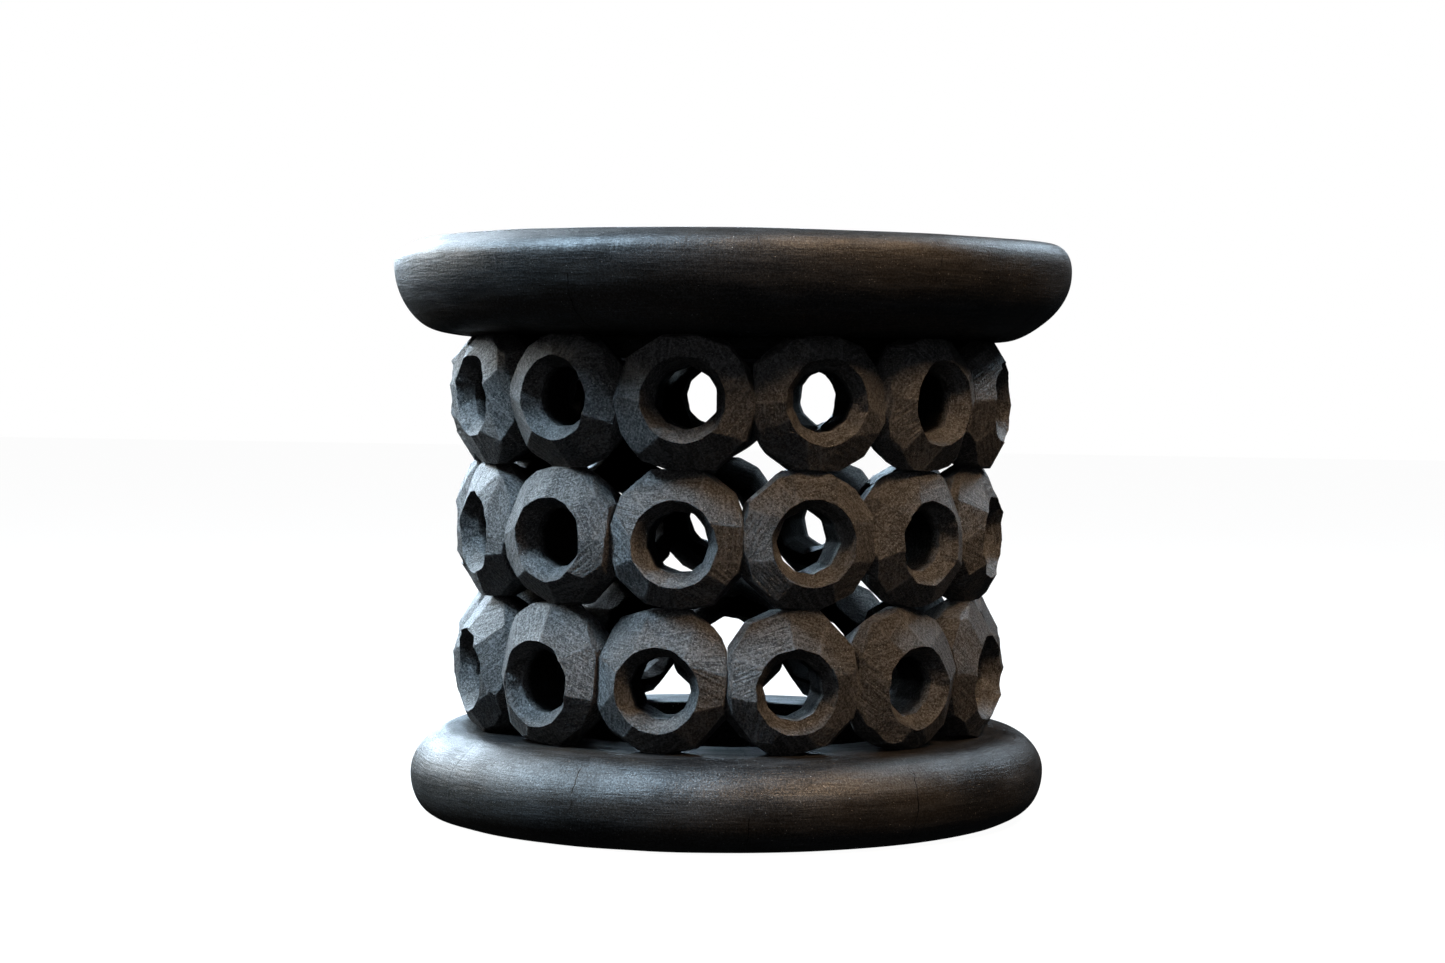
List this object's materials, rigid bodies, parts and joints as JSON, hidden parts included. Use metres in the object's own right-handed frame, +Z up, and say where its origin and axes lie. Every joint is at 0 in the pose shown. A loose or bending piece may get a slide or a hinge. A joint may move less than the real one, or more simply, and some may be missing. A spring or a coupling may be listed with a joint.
{
  "type": "carved wooden drum stool",
  "caption": "Round black-stained drum stool: thick seat and ring-shaped base joined by a see-through wall of faceted, bored rings.",
  "frame": {"origin": "middle of the face the stool stands on", "axes": "+Z up through the middle of the seat, -Y through the first ring of the top row, +X to the right seen from -Y"},
  "size_m": [0.504, 0.504, 0.422],
  "materials": {
    "polished_wood": "black-stained wood, rubbed to a satin sheen",
    "carved_wood": "black-stained wood, matt, as left by the knife"
  },
  "bodies": {
    "root": {"seat": "polished_wood", "base": "polished_wood", "ring_bottom_01": "carved_wood", "ring_bottom_02": "carved_wood", "ring_bottom_03": "carved_wood", "ring_bottom_04": "carved_wood", "ring_bottom_05": "carved_wood", "ring_bottom_06": "carved_wood", "ring_bottom_07": "carved_wood", "ring_bottom_08": "carved_wood", "ring_bottom_09": "carved_wood", "ring_bottom_10": "carved_wood", "ring_bottom_11": "carved_wood", "ring_bottom_12": "carved_wood", "ring_bottom_13": "carved_wood", "ring_middle_01": "carved_wood", "ring_middle_02": "carved_wood", "ring_middle_03": "carved_wood", "ring_middle_04": "carved_wood", "ring_middle_05": "carved_wood", "ring_middle_06": "carved_wood", "ring_middle_07": "carved_wood", "ring_middle_08": "carved_wood", "ring_middle_09": "carved_wood", "ring_middle_10": "carved_wood", "ring_middle_11": "carved_wood", "ring_middle_12": "carved_wood", "ring_middle_13": "carved_wood", "ring_top_01": "carved_wood", "ring_top_02": "carved_wood", "ring_top_03": "carved_wood", "ring_top_04": "carved_wood", "ring_top_05": "carved_wood", "ring_top_06": "carved_wood", "ring_top_07": "carved_wood", "ring_top_08": "carved_wood", "ring_top_09": "carved_wood", "ring_top_10": "carved_wood", "ring_top_11": "carved_wood", "ring_top_12": "carved_wood", "ring_top_13": "carved_wood"}
  },
  "joints": []
}
